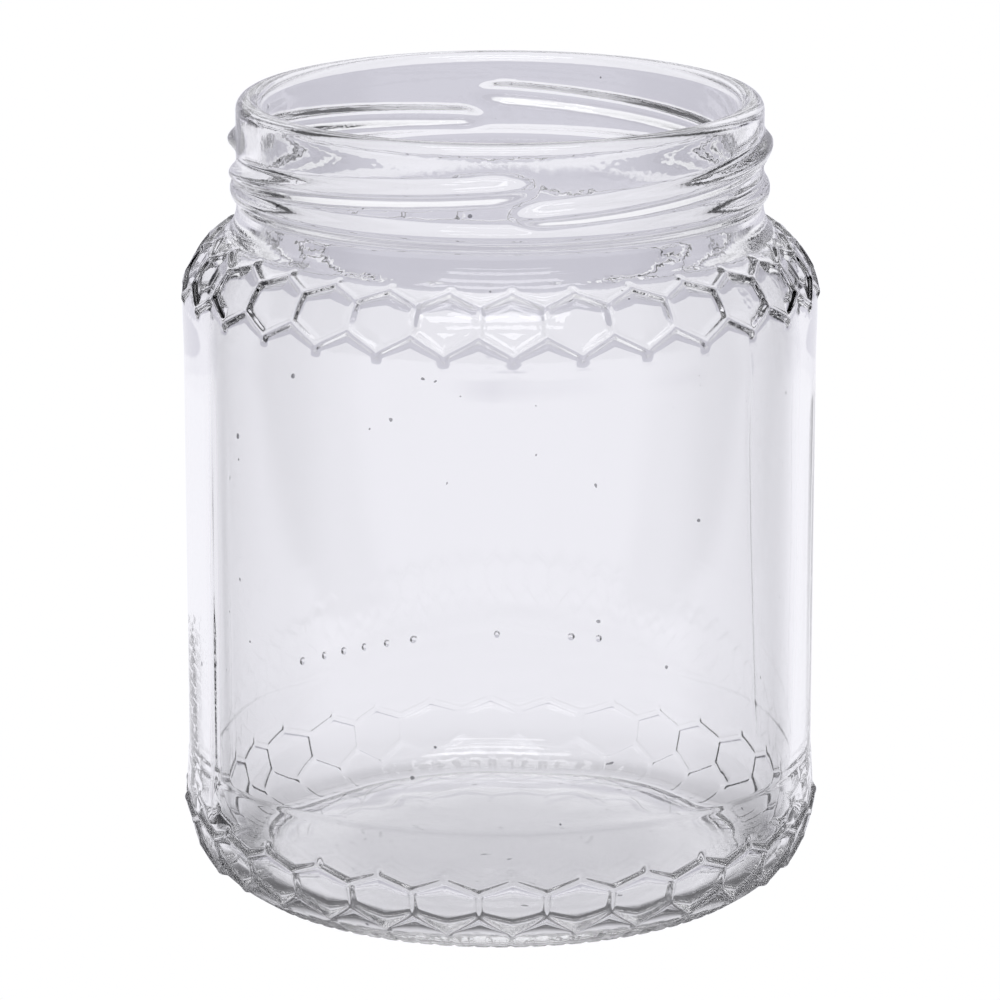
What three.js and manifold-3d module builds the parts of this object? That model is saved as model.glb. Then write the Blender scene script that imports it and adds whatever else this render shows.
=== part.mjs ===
// An empty honeycomb jar, one piece of clear glass: a heel and a shoulder that each carry a ring of raised
// honeycomb cells, a plain recessed panel between them, and a neck with a bead and four lid threads.
// Millimetres, +Z up, the origin at the middle of the base and the front towards -Y.
import * as THREE from "three";
import { mergeVertices } from "three/addons/utils/BufferGeometryUtils.js";
import Module from "manifold-3d";

const wasm = await Module();
wasm.setup();

// Overall
const HEIGHT = 100.9;
const FLATNESS = 0.1;

// Base and heel
const PUSH_UP = 2.4;
const BEARING_INNER_RADIUS = 31.2;
const BEARING_OUTER_RADIUS = 33.7;
const HEEL_TOP = 11.7;

// Wall
const LOWER_LAND_RADIUS = 40.3;
const UPPER_LAND_RADIUS = 40.1;
const PANEL_RADIUS = 39.9;
const PANEL_BOTTOM = 16;
const PANEL_TOP = 72.9;
const PANEL_STEP = 1.2;
const LOWER_STEP_RISE = 0.2;
const UPPER_STEP_RISE = 0.1;
const WALL = 2.6;

// Shoulder and neck
const SHOULDER_BOTTOM = 74.5;
const SHOULDER_RADIUS = 10.4;
const SHOULDER_TURN = THREE.MathUtils.degToRad(57);
const NECK_RADIUS = 33.1;
const BEAD_RADIUS = 34;
const BEAD_HEIGHT = 4.2;
const MOUTH_RADIUS = 30;
const LIP_RISE = 1.6;
const CHOKE_TOP = 88.6;
const CHOKE_TURN = THREE.MathUtils.degToRad(13.4);
const NECK_WALL = 2.1;
const INNER_WALL_TOP = 74;

// Inside of the base
const FLOOR_MIDDLE = 5.4;
const FLOOR_EDGE = 3.3;
const FLOOR_RADIUS = 30;
const INNER_HEEL_TOP = 13.5;

// Honeycomb: the heights of a ring's low apex, the two ends of its upright ridges, and its high apex
const CELLS = 30;
const CELL_PHASE = THREE.MathUtils.degToRad(2.3);
const LOWER_RING = [3.4, 5.75, 9.05, 10.6];
const UPPER_RING = [76.5, 78.6, 81.8, 83.05];
const RIDGE_HEIGHT = 0.38;
const RIDGE_HALF_WIDTH = 0.5;
const SPUR_LENGTH = 1.2;

// Lid threads
const THREADS = 4;
const THREAD_START = THREE.MathUtils.degToRad(2);
const THREAD_SPAN = THREE.MathUtils.degToRad(96);
const THREAD_LOW = 91.8;
const THREAD_RISE = 3.8;
const THREAD_TIP_RADIUS = 34.25;
const THREAD_SECTION_RADIUS = 1.45;
const THREAD_RUN_OUT = 0.1;
const THREAD_STEPS = 18;

// The skin has two columns of facets to a cell, so its corners fall on the cells' apexes and upright ridges.
const COLUMNS = 2 * CELLS;

// The whole section in the (radius, height) plane: from the middle of the base up the outside, over the lip
// and down the inside to the middle of the floor.
function sectionOutline() {
  const arcCentre = UPPER_LAND_RADIUS - SHOULDER_RADIUS;
  const arcEndRadius = arcCentre + SHOULDER_RADIUS * Math.cos(SHOULDER_TURN);
  const arcEndHeight = SHOULDER_BOTTOM + SHOULDER_RADIUS * Math.sin(SHOULDER_TURN);
  const fillet = (arcEndRadius - NECK_RADIUS) / (1 - Math.cos(SHOULDER_TURN));
  const neckBottom = arcEndHeight + fillet * Math.sin(SHOULDER_TURN);
  const lipHalf = (NECK_RADIUS - MOUTH_RADIUS) / 2;
  const wallRadius = PANEL_RADIUS - WALL;
  const filletCentre = NECK_RADIUS + fillet;
  const innerFillet = fillet + NECK_WALL;
  const path = new THREE.Path();

  // A smooth step between two radii, as the panel and the bead have.
  const stepTo = (radius, height) => {
    const { x, y } = path.currentPoint;
    path.bezierCurveTo(x, (y + height) / 2, radius, (y + height) / 2, radius, height);
  };

  path.moveTo(0, PUSH_UP);
  path.quadraticCurveTo(0.8 * BEARING_INNER_RADIUS, PUSH_UP, BEARING_INNER_RADIUS, 0);
  path.lineTo(BEARING_OUTER_RADIUS, 0);
  path.bezierCurveTo(
    BEARING_OUTER_RADIUS + 2, 0.13 * HEEL_TOP,
    LOWER_LAND_RADIUS - 1.1, 0.2 * HEEL_TOP,
    LOWER_LAND_RADIUS, HEEL_TOP,
  );
  path.lineTo(PANEL_RADIUS + LOWER_STEP_RISE, PANEL_BOTTOM);
  stepTo(PANEL_RADIUS, PANEL_BOTTOM + PANEL_STEP);
  path.lineTo(PANEL_RADIUS, PANEL_TOP - PANEL_STEP);
  stepTo(PANEL_RADIUS + UPPER_STEP_RISE, PANEL_TOP);
  path.lineTo(UPPER_LAND_RADIUS, SHOULDER_BOTTOM);
  path.absarc(arcCentre, SHOULDER_BOTTOM, SHOULDER_RADIUS, 0, SHOULDER_TURN, false);
  path.absarc(filletCentre, neckBottom, fillet, Math.PI + SHOULDER_TURN, Math.PI, true);
  stepTo(BEAD_RADIUS, neckBottom + BEAD_HEIGHT / 2);
  stepTo(NECK_RADIUS, neckBottom + BEAD_HEIGHT);
  path.lineTo(NECK_RADIUS, HEIGHT - LIP_RISE);
  path.absellipse(NECK_RADIUS - lipHalf, HEIGHT - LIP_RISE, lipHalf, LIP_RISE, 0, Math.PI, false);
  path.lineTo(MOUTH_RADIUS, CHOKE_TOP);
  const chokeRadius = filletCentre - innerFillet * Math.cos(CHOKE_TURN);
  const chokeBottom = neckBottom - innerFillet * Math.sin(CHOKE_TURN);
  path.bezierCurveTo(
    MOUTH_RADIUS, CHOKE_TOP - 0.8,
    chokeRadius - 0.45, chokeBottom + 1.1,
    chokeRadius, chokeBottom,
  );
  path.absarc(
    filletCentre, neckBottom, innerFillet,
    Math.PI + CHOKE_TURN, Math.PI + SHOULDER_TURN, false,
  );
  const { x, y } = path.currentPoint;
  const pull = 0.25 * SHOULDER_RADIUS;
  path.bezierCurveTo(
    x + pull * Math.sin(SHOULDER_TURN), y - pull * Math.cos(SHOULDER_TURN),
    wallRadius, INNER_WALL_TOP + 0.33 * SHOULDER_RADIUS,
    wallRadius, INNER_WALL_TOP,
  );
  path.lineTo(wallRadius, INNER_HEEL_TOP);
  path.bezierCurveTo(
    wallRadius, INNER_HEEL_TOP / 2,
    wallRadius - 1.9, FLOOR_EDGE - 1,
    FLOOR_RADIUS, FLOOR_EDGE,
  );
  path.bezierCurveTo(
    0.8 * FLOOR_RADIUS, FLOOR_EDGE + 1.2,
    0.6 * FLOOR_RADIUS, FLOOR_MIDDLE,
    0, FLOOR_MIDDLE,
  );
  return path;
}

// The jar's skin, laid out flat as columns round the axis and distances along the section, with a rise above
// the section's surface, and gathered as triangles.
class Skin {
  constructor(section) {
    this.section = section;
    this.length = section.getLength();
    this.corners = [];
  }

  place([column, along, rise = 0]) {
    const t = Math.min(along / this.length, 1);
    const point = this.section.getPoint(t);
    const tangent = this.section.getTangent(t);
    const radius = point.x + rise * tangent.y;
    const angle = CELL_PHASE + ((((column % COLUMNS) + COLUMNS) % COLUMNS) / COLUMNS) * 2 * Math.PI;
    return new THREE.Vector3(
      radius * Math.sin(angle),
      -radius * Math.cos(angle),
      point.y - rise * tangent.x,
    );
  }

  // A facet, its corners given anticlockwise as seen from outside the glass.
  facet(...outline) {
    const [first, ...rest] = outline.map((corner) => this.place(corner));
    for (let i = 1; i < rest.length; i++) this.corners.push(first, rest[i - 1], rest[i]);
  }

  // How far along the section a height on the outer wall is.
  distanceTo(height) {
    let low = BEARING_OUTER_RADIUS / this.length;
    let high = 0.5;
    for (let i = 0; i < 40; i++) {
      const middle = (low + high) / 2;
      if (this.section.getPoint(middle).y < height) low = middle;
      else high = middle;
    }
    return low * this.length;
  }

  // Distances along the section that keep its facets within the flatness of the true curve.
  ringDistances() {
    const distances = [0];
    for (const curve of this.section.curves) {
      const tangents = Array.from({ length: 9 }, (_, i) => curve.getTangent(i / 8));
      const turn = tangents.slice(1).reduce((sum, t, i) => sum + t.angleTo(tangents[i]), 0);
      const count = Math.max(1, Math.ceil(Math.sqrt((curve.getLength() * turn) / (8 * FLATNESS))));
      const start = distances.at(-1);
      for (let i = 1; i <= count; i++) distances.push(start + (curve.getLength() * i) / count);
    }
    return distances;
  }

  // Plain facets all round between two distances.
  strip(low, high) {
    for (let column = 0; column < COLUMNS; column++) {
      const left = this.place([column, low]).distanceTo(this.place([column + 1, low]));
      const right = this.place([column, high]).distanceTo(this.place([column + 1, high]));
      const corners = [[column, low], [column + 1, low], [column + 1, high], [column, high]];
      if (left < 1e-6) corners.splice(1, 1);
      if (right < 1e-6) corners.splice(-1, 1);
      this.facet(...corners);
    }
  }

  // A ring of honeycomb cells, and the two distances that it fills the skin between.
  honeycomb(heights) {
    const [lowApex, lowEnd, highEnd, highApex] = heights.map((height) => this.distanceTo(height));
    const middle = (lowEnd + highEnd) / 2;
    const columnWidth = (2 * Math.PI * this.section.getPoint(middle / this.length).x) / COLUMNS;
    const foot = RIDGE_HALF_WIDTH / columnWidth;
    const lowLift = RIDGE_HALF_WIDTH * Math.hypot(1, (lowEnd - lowApex) / columnWidth);
    const highLift = RIDGE_HALF_WIDTH * Math.hypot(1, (highApex - highEnd) / columnWidth);
    const lowLine = (x) => lowApex + x * (lowEnd - lowApex);
    const highLine = (x) => highApex - x * (highApex - highEnd);
    const low = lowApex - SPUR_LENGTH;
    const high = highApex + SPUR_LENGTH;

    // Crests, then the feet inside the cell, then the feet outside the ring, on a cell's right half
    const crests = {
      lowApex: [0, lowApex, RIDGE_HEIGHT],
      lowEnd: [1, lowEnd, RIDGE_HEIGHT],
      middle: [1, middle, RIDGE_HEIGHT],
      highEnd: [1, highEnd, RIDGE_HEIGHT],
      highApex: [0, highApex, RIDGE_HEIGHT],
    };
    const feet = {
      lowApex: [0, lowApex + lowLift],
      lowEnd: [1 - foot, lowLine(1 - foot) + lowLift],
      middle: [1 - foot, middle],
      highEnd: [1 - foot, highLine(1 - foot) - highLift],
      highApex: [0, highApex - highLift],
    };
    const outside = {
      lowEnd: [1, lowEnd - lowLift],
      lowSpur: [foot, lowLine(foot) - lowLift],
      highSpur: [foot, highLine(foot) + highLift],
      highEnd: [1, highEnd + highLift],
    };
    const rightHalf = [
      [[0, middle], feet.lowApex, feet.lowEnd, feet.middle, feet.highEnd, feet.highApex],
      [feet.lowApex, crests.lowApex, crests.lowEnd, feet.lowEnd],
      [feet.lowEnd, crests.lowEnd, crests.middle, feet.middle],
      [feet.middle, crests.middle, crests.highEnd, feet.highEnd],
      [feet.highEnd, crests.highEnd, crests.highApex, feet.highApex],
      [crests.lowApex, outside.lowSpur, outside.lowEnd, crests.lowEnd],
      [crests.lowApex, [0, low], outside.lowSpur],
      [[0, low], [1, low], outside.lowEnd, outside.lowSpur],
      [crests.highEnd, outside.highEnd, outside.highSpur, crests.highApex],
      [crests.highApex, outside.highSpur, [0, high]],
      [outside.highEnd, [1, high], [0, high], outside.highSpur],
    ];
    for (let cell = 0; cell < CELLS; cell++) {
      for (const outline of rightHalf) {
        this.facet(...outline.map(([x, along, rise]) => [2 * cell + x, along, rise]));
        this.facet(...outline.map(([x, along, rise]) => [2 * cell - x, along, rise]).reverse());
      }
    }
    return [low, high];
  }

  geometry() {
    return new THREE.BufferGeometry().setFromPoints(this.corners);
  }
}

// A closed three.js geometry as a solid.
function solidOf(geometry) {
  geometry.deleteAttribute("normal");
  geometry.deleteAttribute("uv");
  const merged = mergeVertices(geometry, 1e-4);
  return new wasm.Manifold(
    new wasm.Mesh({
      numProp: 3,
      vertProperties: merged.attributes.position.array,
      triVerts: new Uint32Array(merged.index.array),
    }),
  );
}

// A solid as a three.js geometry with flat facets.
function geometryOf(solid) {
  const mesh = solid.getMesh();
  const geometry = new THREE.BufferGeometry()
    .setAttribute("position", new THREE.BufferAttribute(mesh.vertProperties, 3))
    .setIndex(new THREE.BufferAttribute(mesh.triVerts, 1))
    .toNonIndexed();
  geometry.computeVertexNormals();
  return geometry;
}

// The jar without its threads: plain strips of skin, with the honeycomb rings in their places.
function threadlessJar() {
  const skin = new Skin(sectionOutline());
  const rings = [LOWER_RING, UPPER_RING].map((heights) => skin.honeycomb(heights));
  const inRing = (along) => rings.some(([low, high]) => along > low && along < high);
  const distances = [...skin.ringDistances(), ...rings.flat()]
    .filter((along) => !inRing(along))
    .sort((a, b) => a - b);
  for (let i = 1; i < distances.length; i++) {
    if (!inRing((distances[i - 1] + distances[i]) / 2)) skin.strip(distances[i - 1], distances[i]);
  }
  return solidOf(skin.geometry());
}

// A thread's centre line: it climbs to the right, and sinks into the neck at both ends.
class ThreadLine extends THREE.Curve {
  constructor(start) {
    super();
    this.start = start;
  }

  getPoint(t) {
    const fade = THREE.MathUtils.smoothstep(Math.min(t, 1 - t), 0, THREAD_RUN_OUT);
    const sunk = (1 - fade) * (THREAD_TIP_RADIUS - NECK_RADIUS + 0.1);
    const radius = THREAD_TIP_RADIUS - THREAD_SECTION_RADIUS - sunk;
    const angle = this.start + t * THREAD_SPAN;
    return new THREE.Vector3(
      radius * Math.sin(angle),
      -radius * Math.cos(angle),
      THREAD_LOW + t * THREAD_RISE,
    );
  }
}

function thread(index) {
  const section = new THREE.Shape().absarc(0, 0, THREAD_SECTION_RADIUS, 0, 2 * Math.PI, false);
  return solidOf(
    new THREE.ExtrudeGeometry(section, {
      steps: THREAD_STEPS,
      curveSegments: 4,
      extrudePath: new ThreadLine(THREAD_START + (index * 2 * Math.PI) / THREADS),
    }),
  );
}

let jar = threadlessJar();
for (let i = 0; i < THREADS; i++) jar = jar.add(thread(i));

const glass = new THREE.MeshStandardMaterial({
  color: 0xe9e9ee,
  roughness: 0.03,
  metalness: 0,
  transparent: true,
  opacity: 0.35,
});
const glassJar = new THREE.Mesh(geometryOf(jar), glass);
glassJar.name = "glass_jar";

const group = new THREE.Group();
group.add(glassJar);

export default group;
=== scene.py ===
"""An empty honeycomb jar of clear glass on a pale table, in soft studio light.

The jar is one closed skin of glass. Its skin is modelled as narrow strips one cell wide, which run along the
jar's section from the middle of the base, up the outside, over the lip and down the inside to the floor. The
strips are repeated round the axis, wrapped on to the section, and joined.
Sizes are in millimetres until a mesh is finished, and in metres after that.
"""

import logging
import math
from dataclasses import dataclass, field
from enum import Enum

import bpy
import numpy as np
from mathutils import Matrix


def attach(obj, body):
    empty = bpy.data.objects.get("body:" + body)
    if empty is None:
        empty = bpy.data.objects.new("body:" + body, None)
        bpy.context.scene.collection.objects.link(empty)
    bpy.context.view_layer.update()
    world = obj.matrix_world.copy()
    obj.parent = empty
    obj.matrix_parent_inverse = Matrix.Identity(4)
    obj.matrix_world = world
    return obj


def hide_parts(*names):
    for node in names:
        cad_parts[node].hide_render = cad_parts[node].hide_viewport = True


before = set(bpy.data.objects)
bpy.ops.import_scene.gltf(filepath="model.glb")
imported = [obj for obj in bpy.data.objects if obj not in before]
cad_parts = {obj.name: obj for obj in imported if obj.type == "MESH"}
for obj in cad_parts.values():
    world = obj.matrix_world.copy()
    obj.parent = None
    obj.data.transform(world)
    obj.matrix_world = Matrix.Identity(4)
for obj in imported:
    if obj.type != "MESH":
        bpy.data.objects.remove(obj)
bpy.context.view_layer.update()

log = logging.getLogger("honeycomb_jar")

MM = 0.001
Array = np.ndarray
Colour = tuple[float, float, float]
Socket = bpy.types.NodeSocket


class Seen(Enum):
    """Which rays a surface of the set meets."""

    DIRECTLY = "directly"
    IN_GLASS = "in_glass"


def deselect_all() -> None:
    """Clears the selection, so that an operator acts on nothing but what is picked next."""
    if bpy.context.object is not None and bpy.context.object.mode != "OBJECT":
        bpy.ops.object.mode_set(mode="OBJECT")
    bpy.ops.object.select_all(action="DESELECT")


def pick(*objects: bpy.types.Object) -> None:
    """Selects these objects alone, and makes the first one active.

    Args:
        objects: The objects that the next operator acts on.
    """
    deselect_all()
    for item in objects:
        item.select_set(True)
    bpy.context.view_layer.objects.active = objects[0]


def corners_of(item: bpy.types.Object) -> Array:
    """Reads an object's vertices.

    Args:
        item: A mesh object.

    Returns:
        One row of x, y and z for each vertex.
    """
    flat = np.empty(3 * len(item.data.vertices))
    item.data.vertices.foreach_get("co", flat)
    return flat.reshape(-1, 3)


def move_corners(item: bpy.types.Object, corners: Array) -> None:
    """Moves an object's vertices.

    Args:
        item: A mesh object.
        corners: One row of x, y and z for each vertex.
    """
    item.data.vertices.foreach_set("co", np.ascontiguousarray(corners, dtype=np.float32).ravel())
    item.data.update()


def smooth(low: float, high: float, value: Array) -> Array:
    """A soft switch.

    Args:
        low: The value below which the switch is 0.
        high: The value above which it is 1.
        value: Where to read it.

    Returns:
        The switch at each value.
    """
    t = np.clip((value - low) / (high - low), 0, 1)
    return t * t * (3 - 2 * t)


def bezier(*points: tuple[float, float], count: int = 400) -> Array:
    """A cubic or quadratic curve in the section's plane.

    Args:
        points: Its four or three control points, as radius and height.
        count: How many points to work out.

    Returns:
        The points of the curve.
    """
    t = np.linspace(0, 1, count)[:, None]
    level = [np.array(p, float)[None, :] for p in points]
    while len(level) > 1:
        level = [(1 - t) * a + t * b for a, b in zip(level, level[1:])]
    return level[0]


def arc(centre: tuple[float, float], sizes: tuple[float, float], start: float, end: float) -> Array:
    """Part of an ellipse in the section's plane.

    Args:
        centre: Its centre, as radius and height.
        sizes: Its half width and half height.
        start: The angle where it starts, in radians.
        end: The angle where it ends, in radians.

    Returns:
        The points of the arc.
    """
    t = np.linspace(start, end, 400)
    return np.stack([centre[0] + sizes[0] * np.cos(t), centre[1] + sizes[1] * np.sin(t)], 1)


@dataclass(frozen=True)
class Graph:
    """Short ways to add nodes to a material or a world."""

    tree: bpy.types.NodeTree

    def split(self, vector: Socket) -> tuple[Socket, Socket, Socket]:
        """Takes a vector apart.

        Args:
            vector: The vector.

        Returns:
            Its x, y and z.
        """
        node = self.tree.nodes.new("ShaderNodeSeparateXYZ")
        self.tree.links.new(vector, node.inputs["Vector"])
        return node.outputs["X"], node.outputs["Y"], node.outputs["Z"]

    def calculate(self, operation: str, first: Socket, second: Socket | float = 0.0) -> Socket:
        """One step of arithmetic.

        Args:
            operation: What to do, as the node names it.
            first: The first value.
            second: The second value.

        Returns:
            The outcome.
        """
        node = self.tree.nodes.new("ShaderNodeMath")
        node.operation = operation
        self.tree.links.new(first, node.inputs[0])
        if isinstance(second, float):
            node.inputs[1].default_value = second
        else:
            self.tree.links.new(second, node.inputs[1])
        return node.outputs["Value"]

    def noise(self, place: Socket, scale: float) -> Socket:
        """A smooth noise.

        Args:
            place: Where it is read.
            scale: How many waves it has to the metre.

        Returns:
            The noise, from 0 to 1.
        """
        node = self.tree.nodes.new("ShaderNodeTexNoise")
        node.inputs["Scale"].default_value = scale
        node.inputs["Detail"].default_value = 0.0
        self.tree.links.new(place, node.inputs["Vector"])
        return node.outputs["Fac"]

    def switch(self, source: Socket, low: float, high: float) -> Socket:
        """A soft switch.

        Args:
            source: The value that it follows.
            low: The value where it is 0.
            high: The value where it is 1.

        Returns:
            The switch.
        """
        node = self.tree.nodes.new("ShaderNodeMapRange")
        node.interpolation_type = "SMOOTHSTEP"
        node.inputs["From Min"].default_value = low
        node.inputs["From Max"].default_value = high
        self.tree.links.new(source, node.inputs["Value"])
        return node.outputs["Result"]

    def blend(self, share: Socket, below: Colour | Socket, above: Colour | Socket) -> Socket:
        """A colour that goes from one to another.

        Args:
            share: How far it has gone, from 0 to 1.
            below: The colour at 0.
            above: The colour at 1.

        Returns:
            The colour.
        """
        node = self.tree.nodes.new("ShaderNodeMix")
        node.data_type = "RGBA"
        for name, colour in (("A", below), ("B", above)):
            if isinstance(colour, tuple):
                node.inputs[name].default_value = (*colour, 1)
            else:
                self.tree.links.new(colour, node.inputs[name])
        self.tree.links.new(share, node.inputs["Factor"])
        return node.outputs["Result"]

    def shade(self, colour: Socket, share: Socket, tint: Colour) -> Socket:
        """A colour that is multiplied by a tint.

        Args:
            colour: The colour.
            share: How far it is tinted, from 0 to 1.
            tint: The tint.

        Returns:
            The tinted colour.
        """
        node = self.tree.nodes.new("ShaderNodeMix")
        node.data_type = "RGBA"
        node.blend_type = "MULTIPLY"
        self.tree.links.new(colour, node.inputs["A"])
        node.inputs["B"].default_value = (*tint, 1)
        self.tree.links.new(share, node.inputs["Factor"])
        return node.outputs["Result"]


@dataclass
class Section:
    """The jar's section: the sizes that it is drawn from, and the line that they give."""

    height: float = 100.9
    push_up: float = 2.4
    bearing_inner: float = 31.2
    bearing_outer: float = 33.7
    heel_top: float = 11.7
    lower_land: float = 40.3
    upper_land: float = 40.06
    panel: float = 39.94
    panel_bottom: float = 16.0
    lower_step: float = 1.2
    lower_rise: float = 0.12
    upper_step: float = 7.0
    shoulder_bottom: float = 74.5
    shoulder_radius: float = 10.4
    shoulder_turn: float = math.radians(57)
    neck: float = 33.1
    bead: float = 33.9
    bead_height: float = 4.2
    mouth: float = 30.0
    lip_rise: float = 1.6
    throat_top: float = 93.0
    shell: float = 2.9
    shell_lift: float = -0.5
    floor_edge: float = 3.3
    floor_middle: float = 5.4
    floor_radius: float = 30.0
    inner_heel_top: float = 13.5
    push_up_pull: float = 0.8
    heel_leave: tuple[float, float] = (2.0, 0.13)
    heel_arrive: tuple[float, float] = (1.1, 0.2)
    inner_heel_pull: tuple[float, float] = (1.9, 1.0)
    floor_leave: tuple[float, float] = (0.8, 1.2)
    floor_arrive: float = 0.6
    marks: dict[str, float] = field(init=False, default_factory=dict)
    line: Array = field(init=False)
    along: Array = field(init=False)
    normal: Array = field(init=False)
    centre: float = field(init=False)
    fillet: float = field(init=False)
    pivot: tuple[float, float] = field(init=False)

    def __post_init__(self) -> None:
        """Draws the line, and notes how far along it each part of the jar ends."""
        self.line = np.array([[0.0, self.push_up]])
        self.centre = self.upper_land - self.shoulder_radius
        end = self.centre + self.shoulder_radius * math.cos(self.shoulder_turn)
        top = self.shoulder_bottom + self.shoulder_radius * math.sin(self.shoulder_turn)
        self.fillet = (end - self.neck) / (1 - math.cos(self.shoulder_turn))
        self.pivot = (self.neck + self.fillet, top + self.fillet * math.sin(self.shoulder_turn))
        self.draw_outside()
        self.draw_inside()
        steps = np.hypot(*np.diff(self.line, axis=0).T)
        keep = np.concatenate([[True], steps > 1e-9])
        self.line = self.line[keep]
        steps = np.hypot(*np.diff(self.line, axis=0).T)
        self.along = np.concatenate([[0], np.cumsum(steps)])
        tangent = np.gradient(self.line, self.along, axis=0)
        tangent /= np.hypot(*tangent.T)[:, None]
        self.normal = np.stack([tangent[:, 1], -tangent[:, 0]], 1)

    def add(self, name: str, points: Array) -> None:
        """Draws the next stretch of the line.

        Args:
            name: The part of the jar that ends with it.
            points: Its points, from where the line is now.
        """
        self.line = np.concatenate([self.line, points])
        self.marks[name] = float(np.hypot(*np.diff(self.line, axis=0).T).sum())

    def to(self, radius: float, height: float) -> Array:
        """A straight stretch to a radius and height."""
        return np.linspace(self.line[-1], (radius, height), 200)

    def step(self, radius: float, height: float) -> Array:
        """A smooth step to another radius, upright at both ends.

        Args:
            radius: The radius where it ends.
            height: The height where it ends.

        Returns:
            The points of the step.
        """
        x, y = self.line[-1]
        middle = (y + height) / 2
        return bezier((x, y), (x, middle), (radius, middle), (radius, height))

    def draw_outside(self) -> None:
        """Draws the base, the heel, the wall, the shoulder and the neck."""
        turn = self.shoulder_turn
        neck_bottom = self.pivot[1]
        inner, outer, land = self.bearing_inner, self.bearing_outer, self.lower_land
        self.add("push_up", bezier((0, self.push_up), (self.push_up_pull * inner, self.push_up), (inner, 0)))
        self.add("bearing", self.to(outer, 0))
        self.add(
            "heel",
            bezier(
                (outer, 0),
                (outer + self.heel_leave[0], self.heel_leave[1] * self.heel_top),
                (land - self.heel_arrive[0], self.heel_arrive[1] * self.heel_top),
                (land, self.heel_top),
                count=800,
            ),
        )
        self.add("lower_land", self.to(self.panel + self.lower_rise, self.panel_bottom))
        self.add("lower_step", self.step(self.panel, self.panel_bottom + self.lower_step))
        self.add("panel", self.to(self.panel, self.shoulder_bottom - self.upper_step))
        self.add("upper_step", self.step(self.upper_land, self.shoulder_bottom))
        size = self.shoulder_radius
        self.add("shoulder", arc((self.centre, self.shoulder_bottom), (size, size), 0, turn))
        self.add("fillet", arc(self.pivot, (self.fillet, self.fillet), math.pi + turn, math.pi))
        self.add("bead", self.step(self.bead, neck_bottom + self.bead_height / 2))
        self.add("neck_bottom", self.step(self.neck, neck_bottom + self.bead_height))
        self.add("neck", self.to(self.neck, self.height - self.lip_rise))

    def draw_inside(self) -> None:
        """Draws the lip, the inner wall and the floor.

        The inner faces of the fillet and the shoulder are the outer ones, moved level towards the axis.
        """
        half = (self.neck - self.mouth) / 2
        wall = self.upper_land - self.shell
        turn = self.shoulder_turn
        pivot = (self.pivot[0] - self.shell, self.pivot[1] + self.shell_lift)
        centre = (self.centre - self.shell, self.shoulder_bottom + self.shell_lift)
        self.add(
            "lip", arc((self.neck - half, self.height - self.lip_rise), (half, self.lip_rise), 0, math.pi)
        )
        self.add("mouth", self.to(self.mouth, self.throat_top))
        self.add("throat", self.step(self.neck - self.shell, pivot[1]))
        self.add("inner_fillet", arc(pivot, (self.fillet, self.fillet), math.pi, math.pi + turn))
        self.add("inner_shoulder", arc(centre, (self.shoulder_radius, self.shoulder_radius), turn, 0))
        self.add("inner_wall", self.to(wall, self.inner_heel_top))
        self.add(
            "inner_heel",
            bezier(
                (wall, self.inner_heel_top),
                (wall, self.inner_heel_top / 2),
                (wall - self.inner_heel_pull[0], self.floor_edge - self.inner_heel_pull[1]),
                (self.floor_radius, self.floor_edge),
            ),
        )
        self.add(
            "floor",
            bezier(
                (self.floor_radius, self.floor_edge),
                (self.floor_leave[0] * self.floor_radius, self.floor_edge + self.floor_leave[1]),
                (self.floor_arrive * self.floor_radius, self.floor_middle),
                (0, self.floor_middle),
            ),
        )

    def at(self, along: Array) -> tuple[Array, Array]:
        """Places on the line.

        Args:
            along: Distances along it.

        Returns:
            The points there, and the directions that point out of the glass there.
        """
        points = np.stack([np.interp(along, self.along, self.line[:, i]) for i in (0, 1)], 1)
        normals = np.stack([np.interp(along, self.along, self.normal[:, i]) for i in (0, 1)], 1)
        return points, normals / np.hypot(*normals.T)[:, None]

    def along_to(self, height: float) -> float:
        """How far along the line a height on the outside is."""
        low, high = np.searchsorted(self.along, [self.marks["bearing"], self.marks["neck"]])
        return float(np.interp(height, self.line[low:high, 1], self.along[low:high]))


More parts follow.
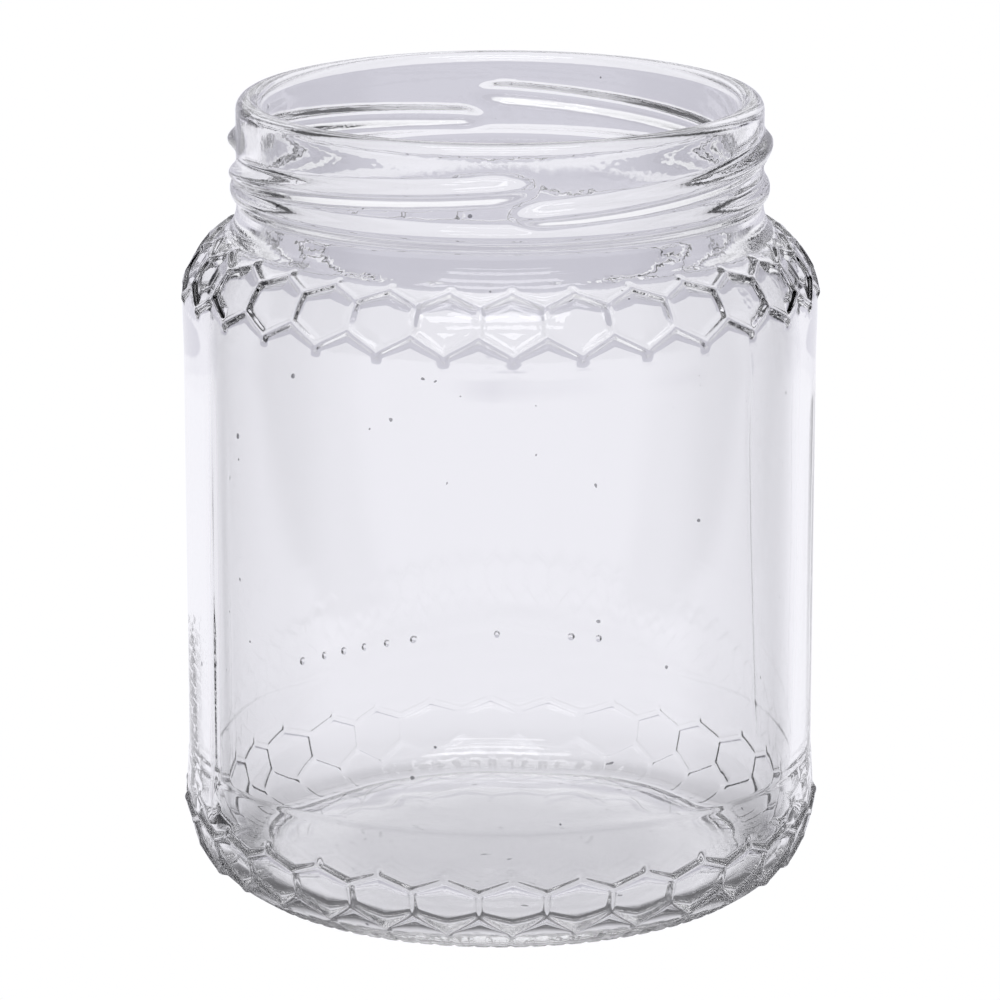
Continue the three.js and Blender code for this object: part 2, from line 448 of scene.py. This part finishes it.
@dataclass(frozen=True)
class HoneycombRing:
    """A ring of raised ridges that outline pointed cells, with a short spur at each apex."""

    low_apex: float
    low_end: float
    high_end: float
    high_apex: float
    rise: float = 0.4
    half_width: float = 0.64
    roundness: float = 1.2
    behind: float = 1.0
    skirt: float = 3.2
    skirt_share: float = 0.14
    spur: float = 1.25
    spur_fade: tuple[float, float] = (0.35, 1.0)
    spur_room: float = 1.5
    wear: tuple[float, float] = (-0.45, 0.1)
    crossing: float = 1.12
    row_reach: float = 1.15
    plain_rows: int = 4

    def lines(self, section: Section) -> tuple[float, float, float, float]:
        """How far along the section a cell's low apex, the ends of its sides and its high apex are."""
        heights = (self.low_apex, self.low_end, self.high_end, self.high_apex)
        return tuple(section.along_to(height) for height in heights)

    def ridge(
        self,
        spots: tuple[Array, Array],
        start: tuple[Array, float],
        end: tuple[Array, float],
        fade: tuple[float, float] | None = None,
    ) -> Array:
        """The share of the full rise beside one straight ridge.

        Args:
            spots: Places across the cell from its middle, and along the section.
            start: Where the ridge starts.
            end: Where it ends.
            fade: The shares of its length between which it sinks away, if it does.

        Returns:
            The share at each place.
        """
        x, along = spots
        dx, dy = end[0] - start[0], end[1] - start[1]
        t = np.clip(((x - start[0]) * dx + (along - start[1]) * dy) / (dx * dx + dy * dy), 0, 1)
        away = np.hypot(x - start[0] - t * dx, along - start[1] - t * dy) / self.half_width
        core = np.clip(1 - away**2, 0, 1) ** self.roundness
        skirt = np.clip(1 - away / self.skirt, 0, 1) ** 2
        share = (1 - self.skirt_share) * core + self.skirt_share * skirt
        return share if fade is None else share * (1 - smooth(*fade, t))

    def rise_at(self, section: Section, angle: Array, across: Array, along: Array, half_cell: Array) -> Array:
        """How far the ridges stand above the plain surface.

        Args:
            section: The jar's section.
            angle: Places round the axis, in radians.
            across: Places across a cell, from -1 to 1 with the apex at 0.
            along: Places along the section.
            half_cell: Half the cell's width at each place.

        Returns:
            The rise at each place.
        """
        low_apex, low_end, high_end, high_apex = self.lines(section)
        spots = (np.abs(across) * half_cell, along)
        middle = np.zeros_like(half_cell)
        shares = [
            self.ridge(spots, (middle, low_apex), (half_cell, low_end)),
            self.ridge(spots, (half_cell, low_end), (half_cell, high_end)),
            self.ridge(spots, (half_cell, high_end), (middle, high_apex)),
            self.ridge(spots, (middle, low_apex), (middle, low_apex - self.spur), self.spur_fade),
            self.ridge(spots, (middle, high_apex), (middle, high_apex + self.spur), self.spur_fade),
        ]
        worn = self.behind + (1 - self.behind) * smooth(*self.wear, np.cos(angle))
        return self.rise * worn * np.minimum(sum(s**3 for s in shares) ** (1 / 3), self.crossing)

    def rows(self, section: Section) -> list[tuple[float, float]]:
        """The rows of a strip that holds the ring.

        Args:
            section: The jar's section.

        Returns:
            For each row, how far along the section it is at the cell's sides and at its apexes.
        """
        low_apex, low_end, high_end, high_apex = self.lines(section)
        near = [n / 4 for n in range(-4, 5)]
        reach = self.row_reach * self.half_width
        first = (low_apex - self.spur_room * self.spur,) * 2
        last = (high_apex + self.spur_room * self.spur,) * 2
        low = [(low_end + reach * n, low_apex + reach * n) for n in near]
        high = [(high_end + reach * n, high_apex + reach * n) for n in near]

        def between(a: tuple[float, float], b: tuple[float, float]) -> list[tuple[float, float]]:
            """Rows that pass evenly from one row to another, without those two."""
            shares = [i / self.plain_rows for i in range(1, self.plain_rows)]
            return [tuple(p + t * (q - p) for p, q in zip(a, b)) for t in shares]

        return [
            first,
            *between(first, low[0]),
            *low,
            *between(low[-1], high[0]),
            *high,
            *between(high[-1], last),
            last,
        ]


@dataclass(frozen=True)
class LidThreads:
    """Short rounded threads that climb to the right round the neck."""

    count: int = 4
    start: float = math.radians(2)
    span: float = math.radians(96)
    low: float = 91.8
    climb: float = 3.8
    rise: float = 1.15
    half_width: float = 1.72
    run_out: tuple[float, float] = (0.075, 0.105)
    lead_in: float = 0.2
    end_width: float = 0.6
    roundness: float = 1.4

    def rise_at(self, angle: Array, height: Array) -> Array:
        """How far the threads stand above the neck.

        Args:
            angle: Places round the axis, in radians.
            height: Their heights.

        Returns:
            The rise at each place.
        """
        total = np.zeros_like(angle)
        for index in range(self.count):
            offset = angle - self.start - index * 2 * math.pi / self.count
            t = np.mod(offset + math.pi, 2 * math.pi) - math.pi
            t = np.where(t < -self.lead_in, t + 2 * math.pi, t) / self.span
            inside = (t > 0) & (t < 1)
            fade = smooth(0, self.run_out[0], t) * smooth(0, self.run_out[1], 1 - t)
            width = self.half_width * (self.end_width + (1 - self.end_width) * fade)
            away = np.clip(np.abs(height - self.low - self.climb * t) / width, 0, 1)
            bump = self.rise * fade * (1 - away**2) ** self.roundness
            total = np.where(inside, np.maximum(total, bump), total)
        return total


@dataclass(frozen=True)
class BearingNotches:
    """Shallow notches across the ring that the jar stands on."""

    per_cell: int = 3
    depth: float = 0.14
    half_width: float = 0.6
    inner: float = 32.6
    inner_fade: float = 0.8
    outer: float = 37.2
    outer_fade: float = 1.4

    def rise_at(self, across: Array, radius: Array, half_cell: Array) -> Array:
        """How far the notches sink below the plain surface, as a negative rise.

        Args:
            across: Places across a cell, from -1 to 1.
            radius: Their distances from the axis.
            half_cell: Half the cell's width at each place.

        Returns:
            The rise at each place.
        """
        pitch = 2 / self.per_cell
        away = np.abs(np.mod(across + pitch / 2, pitch) - pitch / 2) * half_cell
        shape = np.where(away < self.half_width, np.cos(away / self.half_width * math.pi / 2) ** 2, 0)
        starts = smooth(self.inner, self.inner + self.inner_fade, radius)
        ends = 1 - smooth(self.outer - self.outer_fade, self.outer, radius)
        return -self.depth * shape * (starts * ends)


@dataclass(frozen=True)
class MouldSeams:
    """Two low upright ridges where the halves of the mould met."""

    first: float = math.radians(-63.7)
    rise: float = 0.12
    half_width: float = 0.84
    bottom: float = 11.0
    bottom_fade: float = 4.0
    top: float = 68.0
    top_fade: float = 14.0

    def rise_at(self, angle: Array, points: Array) -> Array:
        """How far the seams stand above the plain surface.

        Args:
            angle: Places round the axis, in radians.
            points: Their radius and height.

        Returns:
            The rise at each place.
        """
        radius, height = points.T
        turn = np.mod(angle - self.first + math.pi / 2, math.pi) - math.pi / 2
        away = np.clip(np.abs(turn) * radius / self.half_width, 0, 1)
        starts = smooth(self.bottom, self.bottom + self.bottom_fade, height)
        ends = 1 - smooth(self.top - self.top_fade, self.top, height)
        return self.rise * np.cos(away * math.pi / 2) ** 2 * (starts * ends)


@dataclass(frozen=True)
class MouldDots:
    """A row of small raised dots low on the back of the label panel, and a few beside it."""

    row_start: float = 198.2
    row_pitch: float = 5.6
    row_count: int = 6
    others: tuple[float, ...] = (161.3, 166.4, 180.6)
    height: float = 19.7
    rise: float = 0.42
    radius: float = 0.55
    roundness: float = 1.5
    cuts: int = 5
    patch_share: float = 1.5
    patch_margin: float = 0.35
    skin_depth: float = 0.5

    def raise_on(self, jar: bpy.types.Object, wall: float) -> None:
        """Raises the dots on the jar's outer wall.

        Args:
            jar: The skin, in metres.
            wall: The outer wall's radius there.
        """
        row = [self.row_start + self.row_pitch * i for i in range(self.row_count)]
        turns = np.radians([*self.others, *row])
        spots = np.stack([wall * np.sin(turns), -wall * np.cos(turns), np.full_like(turns, self.height)], 1)
        middles = np.empty(3 * len(jar.data.polygons))
        jar.data.polygons.foreach_get("center", middles)
        middles = middles.reshape(-1, 3) / MM
        outside = np.hypot(middles[:, 0], middles[:, 1]) > wall - self.skin_depth
        nearest = np.linalg.norm(middles[:, None, :] - spots[None, :, :], axis=2).min(1)
        patch = self.patch_share * self.radius + self.patch_margin
        pick(jar)
        bpy.ops.object.mode_set(mode="EDIT")
        bpy.ops.mesh.select_mode(type="FACE")
        bpy.ops.mesh.select_all(action="DESELECT")
        bpy.ops.object.mode_set(mode="OBJECT")
        jar.data.polygons.foreach_set("select", outside & (nearest < patch))
        bpy.ops.object.mode_set(mode="EDIT")
        bpy.ops.mesh.subdivide(number_cuts=self.cuts)
        bpy.ops.object.mode_set(mode="OBJECT")
        corners = corners_of(jar)
        round_axis = np.hypot(corners[:, 0], corners[:, 1])
        away = np.linalg.norm(corners[:, None, :] / MM - spots[None, :, :], axis=2).min(1) / self.radius
        bump = np.clip(1 - away**2, 0, 1) ** self.roundness
        share = np.where(round_axis > MM * (wall - self.skin_depth), bump, 0)
        grown = 1 + self.rise * share / wall
        corners[:, :2] *= grown[:, None]
        move_corners(jar, corners)


@dataclass(frozen=True)
class ClearGlass:
    """Clear bottle glass: a faint tint, a fine mould grain above the label panel, and a few specks."""

    name: str = "clear_glass"
    tint: Colour = (0.98, 0.98, 0.985)
    speck: Colour = (0.12, 0.12, 0.13)
    ior: float = 1.52
    grain_scale: float = 1500.0
    grain_height: float = 0.000006
    grain_starts: tuple[float, float] = (0.073, 0.076)
    speck_scale: float = 700.0
    speck_from: float = 0.885
    speck_to: float = 0.89

    def make(self) -> bpy.types.Material:
        """Makes the material.

        Returns:
            The material, with its nodes.
        """
        made = bpy.data.materials.new(self.name)
        made.use_nodes = True
        tree = made.node_tree
        graph = Graph(tree)
        surface = tree.nodes["Principled BSDF"]
        surface.inputs["Transmission Weight"].default_value = 1.0
        surface.inputs["Roughness"].default_value = 0.0
        surface.inputs["IOR"].default_value = self.ior

        place = tree.nodes.new("ShaderNodeTexCoord").outputs["Object"]
        specks = graph.switch(graph.noise(place, self.speck_scale), self.speck_from, self.speck_to)
        tree.links.new(graph.blend(specks, self.tint, self.speck), surface.inputs["Base Color"])

        _, _, height = graph.split(place)
        above_panel = graph.switch(height, *self.grain_starts)
        grain = graph.calculate("MULTIPLY", graph.noise(place, self.grain_scale), above_panel)
        bump = tree.nodes.new("ShaderNodeBump")
        bump.inputs["Strength"].default_value = 1.0
        bump.inputs["Distance"].default_value = self.grain_height
        tree.links.new(grain, bump.inputs["Height"])
        tree.links.new(bump.outputs["Normal"], surface.inputs["Normal"])
        return made


# Columns across a cell, from -1 to 1 with its apex at 0, and closer together where the ridges run
HALF = np.array([0, 0.045, 0.09, 0.135, 0.185, 0.29, 0.5, 0.71, 0.815, 0.865, 0.91, 0.955, 1.0])
FINE_COLUMNS = np.concatenate([-HALF[:0:-1], HALF])
EVEN_COLUMNS = np.linspace(-1, 1, 13)
PANEL_COLUMNS = np.array([-1, -0.9, -0.8, -0.6, -0.4, -0.2, 0, 0.2, 0.4, 0.6, 0.8, 0.9, 1])


@dataclass
class Strip:
    """A strip of skin one cell wide, laid out flat, with the section's length running up it."""

    name: str
    rows: list[tuple[float, float]]
    columns: Array
    open_below: bool = False
    open_above: bool = False

    def build(self, cells: int) -> bpy.types.Object:
        """Models the strip from a grid, and repeats it for every cell.

        Args:
            cells: How many cells go round the jar.

        Returns:
            The flat strips side by side, with the cell's width as 2.
        """
        deselect_all()
        count = len(self.columns) - 1
        last = len(self.rows) - 1
        bpy.ops.mesh.primitive_grid_add(x_subdivisions=count, y_subdivisions=last, size=2)
        made = bpy.context.object
        made.name = made.data.name = self.name
        for wanted, end in ((self.open_below, -1.0), (self.open_above, 1.0)):
            if wanted:
                self.split_edge_loop(made, end)
        flat = corners_of(made)
        column = (flat[:, 0] + 1) / 2 * count
        row = (flat[:, 1] + 1) / 2 * last
        across = np.interp(column, np.arange(count + 1), self.columns)
        ends = (self.open_below & (row < 0.01)) | (self.open_above & (row > last - 0.01))
        fine = np.linspace(0, count, len(FINE_COLUMNS))
        across = np.where(ends, np.interp(column, fine, FINE_COLUMNS), across)
        index = np.rint(row).astype(int)
        side, apex = np.array(self.rows).T
        along = apex[index] + np.abs(across) * (side[index] - apex[index])
        move_corners(made, np.stack([across, along, np.zeros_like(along)], 1))
        repeat = made.modifiers.new("cells", "ARRAY")
        repeat.count = cells
        repeat.use_relative_offset = False
        repeat.use_constant_offset = True
        repeat.constant_offset_displace = (2, 0, 0)
        repeat.use_merge_vertices = True
        repeat.merge_threshold = 1e-4
        pick(made)
        bpy.ops.object.modifier_apply(modifier=repeat.name)
        return made

    @staticmethod
    def split_edge_loop(made: bpy.types.Object, end: float) -> None:
        """Halves the edges along one end of a grid, so that it meets a strip with twice its columns.

        Args:
            made: The grid.
            end: The end's place up the grid, -1 or 1.
        """
        pick(made)
        bpy.ops.object.mode_set(mode="EDIT")
        bpy.ops.mesh.select_mode(type="EDGE")
        bpy.ops.mesh.select_all(action="DESELECT")
        bpy.ops.object.mode_set(mode="OBJECT")
        corners = corners_of(made)
        for edge in made.data.edges:
            edge.select = all(abs(corners[v, 1] - end) < 1e-6 for v in edge.vertices)
        bpy.ops.object.mode_set(mode="EDIT")
        bpy.ops.mesh.subdivide(number_cuts=1, quadcorner="FAN")
        bpy.ops.object.mode_set(mode="OBJECT")


@dataclass(frozen=True)
class Ripple:
    """A shallow wave round the inner face, which drifts to one side as it rises."""

    rise: float
    count: int
    drift: float
    start: float

    def rise_at(self, angle: Array, height: Array) -> Array:
        """How far the wave stands proud, at places round the axis and up it."""
        return self.rise * np.sin(self.count * angle + height / self.drift + self.start)


@dataclass
class GlassJar:
    """The jar: one skin of glass with two honeycomb rings, a bead and lid threads."""

    cells: int = 30
    phase: float = math.radians(2.3)
    section: Section = field(default_factory=Section)
    lower_ring: HoneycombRing = HoneycombRing(
        3.4, 5.75, 9.05, 10.6, rise=0.55, half_width=0.52, roundness=0.7, behind=0.35
    )
    upper_ring: HoneycombRing = HoneycombRing(76.5, 78.6, 81.8, 83.05, skirt_share=0.07)
    threads: LidThreads = LidThreads()
    notches: BearingNotches = BearingNotches()
    seams: MouldSeams = MouldSeams()
    dots: MouldDots = MouldDots()
    finish: ClearGlass = ClearGlass()
    ripples: tuple[Ripple, ...] = (
        Ripple(0.06, 3, 23.0, 0.4),
        Ripple(0.05, 7, -31.0, 1.9),
        Ripple(0.03, 13, 17.0, 2.7),
    )
    ripples_from: tuple[float, float] = (4.0, 24.0)
    off_centre: tuple[float, float] = (0.25, -0.1)
    under_rim: float = 6.0
    bearing_margin: float = 0.6
    step_margins: tuple[float, float] = (1.4, 4.4)
    lip_margin: float = 2.4
    weld: float = 0.000002

    @staticmethod
    def flat_rows(*stops: tuple[float, int]) -> list[tuple[float, float]]:
        """Level rows along the section.

        Args:
            stops: Distances along it, each with the number of rows that lead up to it.

        Returns:
            The rows, as Strip takes them.
        """
        marks = [stops[0][0]]
        for (start, _), (end, count) in zip(stops, stops[1:]):
            marks += [start + (end - start) * (i + 1) / count for i in range(count)]
        return [(mark, mark) for mark in marks]

    def strips(self) -> list[Strip]:
        """Lays out the strips of skin.

        Returns:
            The strips, from the middle of the base to the middle of the floor.
        """
        at = self.section.marks
        low_rows = self.lower_ring.rows(self.section)
        high_rows = self.upper_ring.rows(self.section)
        ring_start = low_rows[0][0]
        bearing_start = at["push_up"] - self.bearing_margin
        under = self.flat_rows((0, 0), (at["push_up"] - self.under_rim, 6), (bearing_start, 5))
        heel = self.flat_rows(
            (bearing_start, 0),
            (at["push_up"] + self.bearing_margin, 4),
            (at["bearing"], 3),
            (ring_start, 7),
        )
        panel = self.flat_rows(
            (low_rows[-1][0], 0),
            (at["lower_land"], 2),
            (at["lower_step"], 6),
            (at["lower_step"] + self.step_margins[0], 2),
            (at["lower_step"] + self.step_margins[1], 3),
            (at["panel"], 6),
            (high_rows[0][0], 6),
        )
        neck = self.flat_rows(
            (high_rows[-1][0], 0),
            (at["fillet"], 6),
            (at["neck_bottom"], 11),
            (at["neck"] - self.lip_margin, 14),
            (at["neck"], 3),
            (at["lip"], 11),
            (at["mouth"], 3),
            (at["throat"], 5),
            (at["inner_fillet"], 7),
            (at["inner_shoulder"], 9),
            (at["inner_wall"], 5),
            (at["inner_heel"], 12),
            (at["floor"], 5),
        )
        return [
            Strip("underside", under, EVEN_COLUMNS, open_above=True),
            Strip("heel", heel[:-1] + low_rows, FINE_COLUMNS),
            Strip("panel", panel, PANEL_COLUMNS, open_below=True, open_above=True),
            Strip("shoulder", high_rows, FINE_COLUMNS),
            Strip("neck_and_inside", neck, EVEN_COLUMNS, open_below=True),
        ]

    def wrap(self, flat: Array) -> Array:
        """Wraps flat skin on to the jar, and raises its ridges, threads and ripples.

        Args:
            flat: Places across the cells and along the section.

        Returns:
            Places in space, in metres.
        """
        across = np.mod(flat[:, 0] + 1, 2) - 1
        along = flat[:, 1]
        points, normals = self.section.at(along)
        angle = self.phase + flat[:, 0] * math.pi / self.cells
        half_cell = np.maximum(points[:, 0], 1) * math.pi / self.cells
        at = self.section.marks

        def between(start: str, end: str) -> Array:
            """Which places lie between the ends of two parts of the section."""
            return (along > at[start]) & (along < at[end])

        spots = (self.section, angle, across, along, half_cell)
        rise = np.where(between("bearing", "panel"), self.lower_ring.rise_at(*spots), 0)
        rise += np.where(between("panel", "fillet"), self.upper_ring.rise_at(*spots), 0)
        rise += np.where(between("fillet", "lip"), self.threads.rise_at(angle, points[:, 1]), 0)
        rise += np.where(along < at["heel"], self.notches.rise_at(across, points[:, 0], half_cell), 0)
        rise += np.where(between("bearing", "shoulder"), self.seams.rise_at(angle, points), 0)
        inner = smooth(at["mouth"], at["inner_shoulder"], along) * smooth(*self.ripples_from, points[:, 0])
        rise += inner * sum(ripple.rise_at(angle, points[:, 1]) for ripple in self.ripples)
        radius = points[:, 0] + rise * normals[:, 0]
        height = points[:, 1] + rise * normals[:, 1]
        x = radius * np.sin(angle) + inner * self.off_centre[0]
        y = -radius * np.cos(angle) + inner * self.off_centre[1]
        return MM * np.stack([x, y, height], 1)

    def build(self) -> bpy.types.Object:
        """Models the skin.

        Returns:
            The closed skin, in place.
        """
        made = []
        for strip in self.strips():
            piece = strip.build(self.cells)
            move_corners(piece, self.wrap(corners_of(piece)))
            made.append(piece)
            log.info("%s: %d faces", strip.name, len(piece.data.polygons))
        pick(*made)
        bpy.ops.object.join()
        jar = bpy.context.object
        jar.name = jar.data.name = "glass_jar_skin"
        bpy.ops.object.mode_set(mode="EDIT")
        bpy.ops.mesh.select_all(action="SELECT")
        bpy.ops.mesh.remove_doubles(threshold=self.weld)
        bpy.ops.mesh.normals_make_consistent(inside=False)
        bpy.ops.object.mode_set(mode="OBJECT")
        self.dots.raise_on(jar, self.section.panel)
        bpy.ops.object.shade_smooth()
        return jar

    def dress(self, jar: bpy.types.Object) -> None:
        """Gives the skin its glass, and its place in the part.

        Args:
            jar: The skin.
        """
        jar.data.materials.clear()
        jar.data.materials.append(self.finish.make())
        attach(jar, "root")
        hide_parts("glass_jar")


@dataclass(frozen=True)
class PaleTable:
    """A pale table that glows with painted light and shade: a painted shadow under the jar, bright behind it,
    painted shade that turns it greyer far off, and dark painted shade at the sides and in front.
    """

    name: str
    shade_rings: tuple[tuple[float, Colour], ...]
    reach: float = 0.1
    far: tuple[float, float] = (0.287, 0.313)
    far_bend: float = 0.6
    far_shade: Colour = (0.7, 0.695, 0.735)
    sides: tuple[float, float, float, float] = (42, 58, 100, 125)
    side_shade: float = 1.0
    front_shade: float = 1.0
    beside: float = 0.03
    ahead: float = 0.02
    clear: tuple[float, float] = (0.042, 0.06)
    contact_shadow: tuple[float, float, float, float] = (0.0295, 0.034, 0.039, 0.046)
    contact_shadow_front: tuple[float, float] = (0.02, -0.015)
    contact_shadow_share: float = 1.0

    def shade_ring_colour(self, graph: Graph, away: Socket) -> Socket:
        """The colour of the rings round the jar, which paint the shade under and round it: a painted shadow
        under the jar and a lighter painted band near its foot.

        Args:
            graph: The material's nodes.
            away: The distance from the jar's axis.

        Returns:
            The colour.
        """
        ramp = graph.tree.nodes.new("ShaderNodeValToRGB")
        ramp.color_ramp.interpolation = "EASE"
        stops = ramp.color_ramp.elements
        while len(stops) < len(self.shade_rings):
            stops.new(1.0)
        for stop, (radius, colour) in zip(stops, self.shade_rings):
            stop.position = radius / self.reach
            stop.color = (*colour, 1)
        graph.tree.links.new(graph.calculate("DIVIDE", away, self.reach), ramp.inputs["Fac"])
        return ramp.outputs["Color"]

    def make(self) -> bpy.types.Material:
        """Makes the material.

        Returns:
            The material, with its nodes.
        """
        made = bpy.data.materials.new(self.name)
        made.use_nodes = True
        tree = made.node_tree
        tree.nodes.clear()
        graph = Graph(tree)
        place = tree.nodes.new("ShaderNodeTexCoord").outputs["Object"]
        x, y, _ = graph.split(place)
        across = graph.calculate("MULTIPLY", x, x)
        along = graph.calculate("MULTIPLY", y, y)
        away = graph.calculate("SQRT", graph.calculate("ADD", across, along))
        # Painted shadow: rings round the axis darken the table under the jar, with a lighter painted band
        # near the jar's foot.
        colour = self.shade_ring_colour(graph, away)

        # Painted shade: the table turns greyer far behind the jar, and later towards the sides.
        aside = graph.calculate("ABSOLUTE", x)
        depth = graph.calculate("SUBTRACT", y, graph.calculate("MULTIPLY", aside, self.far_bend))
        colour = graph.shade(colour, graph.switch(depth, *self.far), self.far_shade)
        # Painted shade: the table turns dark at the sides and in front, except close to the jar.
        beside = graph.calculate("MAXIMUM", graph.calculate("SUBTRACT", aside, self.beside), 0.0)
        turn = graph.calculate("ARCTAN2", beside, graph.calculate("ADD", y, self.ahead))
        clear = graph.switch(away, *self.clear)
        side_from, side_to, front_from, front_to = (math.radians(angle) for angle in self.sides)
        front = graph.switch(turn, front_from, front_to)
        side = graph.calculate("SUBTRACT", graph.switch(turn, side_from, side_to), front)
        colour = graph.shade(colour, graph.calculate("MULTIPLY", side, clear), (self.side_shade,) * 3)
        colour = graph.shade(colour, graph.calculate("MULTIPLY", front, clear), (self.front_shade,) * 3)
        # Painted shadow: a darker ring round the jar's foot, on its front side.
        ring_starts = graph.switch(away, *self.contact_shadow[:2])
        ring_ends = graph.switch(away, *self.contact_shadow[2:])
        shadow_ring = graph.calculate("SUBTRACT", ring_starts, ring_ends)
        near_front = graph.switch(y, *self.contact_shadow_front)
        colour = graph.shade(colour, graph.calculate("MULTIPLY", shadow_ring, near_front), (self.contact_shadow_share,) * 3)

        # The table glows with these colours instead of being lit, so any shading on it is painted light and
        # shade.
        glow = tree.nodes.new("ShaderNodeEmission")
        tree.links.new(colour, glow.inputs["Color"])
        output = tree.nodes.new("ShaderNodeOutputMaterial")
        tree.links.new(glow.outputs["Emission"], output.inputs["Surface"])
        return made


@dataclass(frozen=True)
class StudioRoom:
    """The room round the table: a white wall behind, a dim ceiling, and dark sides and front."""

    low_wall: Colour = (0.6, 0.59, 0.66)
    white: Colour = (1.02, 1.02, 1.05)
    ceiling: Colour = (0.28, 0.28, 0.3)
    dark: Colour = (0.03, 0.03, 0.035)
    white_from: float = 0.12
    white_to: float = 0.2
    front_from: float = 0.15
    front_to: float = -0.05
    side_from: float = 0.42
    side_to: float = 0.62
    top_from: float = 0.6
    top_to: float = 0.8

    def make(self) -> bpy.types.World:
        """Makes the world.

        Returns:
            The world, with its nodes.
        """
        made = bpy.data.worlds.new("studio_room")
        made.use_nodes = True
        tree = made.node_tree
        way = tree.nodes.new("ShaderNodeTexCoord")
        graph = Graph(tree)
        x, y, z = graph.split(way.outputs["Generated"])
        wall = graph.blend(graph.switch(z, self.white_from, self.white_to), self.low_wall, self.white)
        topped = graph.blend(graph.switch(z, self.top_from, self.top_to), wall, self.ceiling)
        fronted = graph.blend(graph.switch(y, self.front_from, self.front_to), topped, self.dark)
        aside = graph.switch(graph.calculate("ABSOLUTE", x), self.side_from, self.side_to)
        sided = graph.blend(aside, fronted, self.dark)
        tree.links.new(sided, tree.nodes["Background"].inputs["Color"])
        return made


@dataclass(frozen=True)
class StripLight:
    """A long soft light above and in front of the jar, turned towards it."""

    name: str
    climb: float
    length: float
    width: float
    brightness: float
    distance: float = 1.3
    aim: float = 0.08

    def build(self) -> bpy.types.Object:
        """Hangs the light.

        Returns:
            The light.
        """
        deselect_all()
        out, up = math.cos(self.climb) * self.distance, math.sin(self.climb) * self.distance
        bpy.ops.object.light_add(type="AREA", location=(0, -out, up + self.aim))
        made = bpy.context.object
        made.name = made.data.name = self.name
        made.data.shape = "RECTANGLE"
        made.data.size = self.length
        made.data.size_y = self.width
        made.data.energy = self.brightness * math.pi * self.length * self.width
        made.rotation_euler = (math.pi / 2 - self.climb, 0, 0)
        return made


@dataclass
class Studio:
    """The table, the light and the camera."""

    table_size: float = 40.0
    dome_radius: float = 4.5
    seen: PaleTable = PaleTable(
        "pale_table",
        ((0.0, (1.0, 1.0, 1.02)), (0.1, (1.0, 1.0, 1.02))),
        far_shade=(1.0, 1.0, 1.0),
    )
    # The table that the glass sees carries painted shade: a painted shadow under the jar, dark sides and
    # front, and a greyer far part.
    refracted: PaleTable = PaleTable(
        "shaded_table_in_glass",
        (
            (0.0, (0.5, 0.495, 0.53)),
            (0.017, (0.52, 0.515, 0.55)),
            (0.024, (0.62, 0.615, 0.65)),
            (0.031, (0.78, 0.775, 0.815)),
            (0.036, (0.6, 0.595, 0.63)),
            (0.046, (0.85, 0.845, 0.89)),
            (0.07, (0.93, 0.925, 0.975)),
        ),
        side_shade=0.08,
        front_shade=0.7,
        contact_shadow_share=0.2,
    )
    room: StudioRoom = StudioRoom()
    lights: tuple[StripLight, ...] = (
        StripLight("strip_light_top", math.radians(79), 1.0, 0.2, 3.5),
        StripLight("strip_light_middle", math.radians(59), 0.9, 0.2, 3.5),
        StripLight("strip_light_low", math.radians(38), 0.9, 0.1, 3.5),
    )
    camera_place: tuple[float, float, float] = (0.0, -0.69453, 0.22973)
    camera_pitch: float = math.radians(90 - 14.626)
    lens: float = 202.705
    sensor: float = 36.0
    clip: tuple[float, float] = (0.01, 100.0)
    seen_height: float = -0.00002
    refracted_height: float = -0.00004
    bounces: int = 32

    def table(self, finish: PaleTable, seen: Seen, height: float) -> bpy.types.Object:
        """Lays a table top.

        Args:
            finish: Its finish.
            seen: Which rays meet it.
            height: Its height.

        Returns:
            The table top.
        """
        deselect_all()
        bpy.ops.mesh.primitive_plane_add(size=self.table_size, location=(0, 0, height))
        made = bpy.context.object
        made.name = made.data.name = finish.name
        made.data.materials.append(finish.make())
        made.visible_camera = seen is Seen.DIRECTLY
        made.visible_transmission = made.visible_glossy = seen is Seen.IN_GLASS
        made.visible_diffuse = seen is Seen.IN_GLASS
        return made

    def dome(self) -> bpy.types.Object:
        """Sets a plain pale background round the table, which only the camera sees.

        Returns:
            The background.
        """
        deselect_all()
        bpy.ops.mesh.primitive_uv_sphere_add(segments=48, ring_count=24, radius=self.dome_radius)
        made = bpy.context.object
        made.name = made.data.name = "pale_background"
        made.data.materials.append(self.seen.make())
        made.visible_transmission = made.visible_glossy = made.visible_diffuse = False
        made.visible_shadow = False
        return made

    def camera(self) -> bpy.types.Object:
        """Sets up the camera at the jar's front, a little above it.

        Returns:
            The camera.
        """
        deselect_all()
        bpy.ops.object.camera_add(location=self.camera_place, rotation=(self.camera_pitch, 0, 0))
        made = bpy.context.object
        made.name = made.data.name = "camera"
        made.data.sensor_width = self.sensor
        made.data.lens = self.lens
        made.data.clip_start, made.data.clip_end = self.clip
        bpy.context.scene.camera = made
        return made

    def build(self) -> None:
        """Sets up the whole studio."""
        self.table(self.seen, Seen.DIRECTLY, self.seen_height)
        self.table(self.refracted, Seen.IN_GLASS, self.refracted_height)
        self.dome()
        for light in self.lights:
            light.build()
        bpy.context.scene.world = self.room.make()
        self.camera()
        scene = bpy.context.scene
        scene.view_settings.view_transform = "Standard"
        scene.cycles.max_bounces = self.bounces
        scene.cycles.transmission_bounces = self.bounces
        scene.cycles.glossy_bounces = self.bounces


def main() -> None:
    """Builds the jar and the studio, and notes the sizes."""
    logging.basicConfig(level=logging.INFO, format="%(name)s: %(message)s")
    Studio().build()
    jar = GlassJar()
    skin = jar.build()
    jar.dress(skin)
    log.info("%s: %d vertices", skin.name, len(skin.data.vertices))


if __name__ == "__main__":
    main()
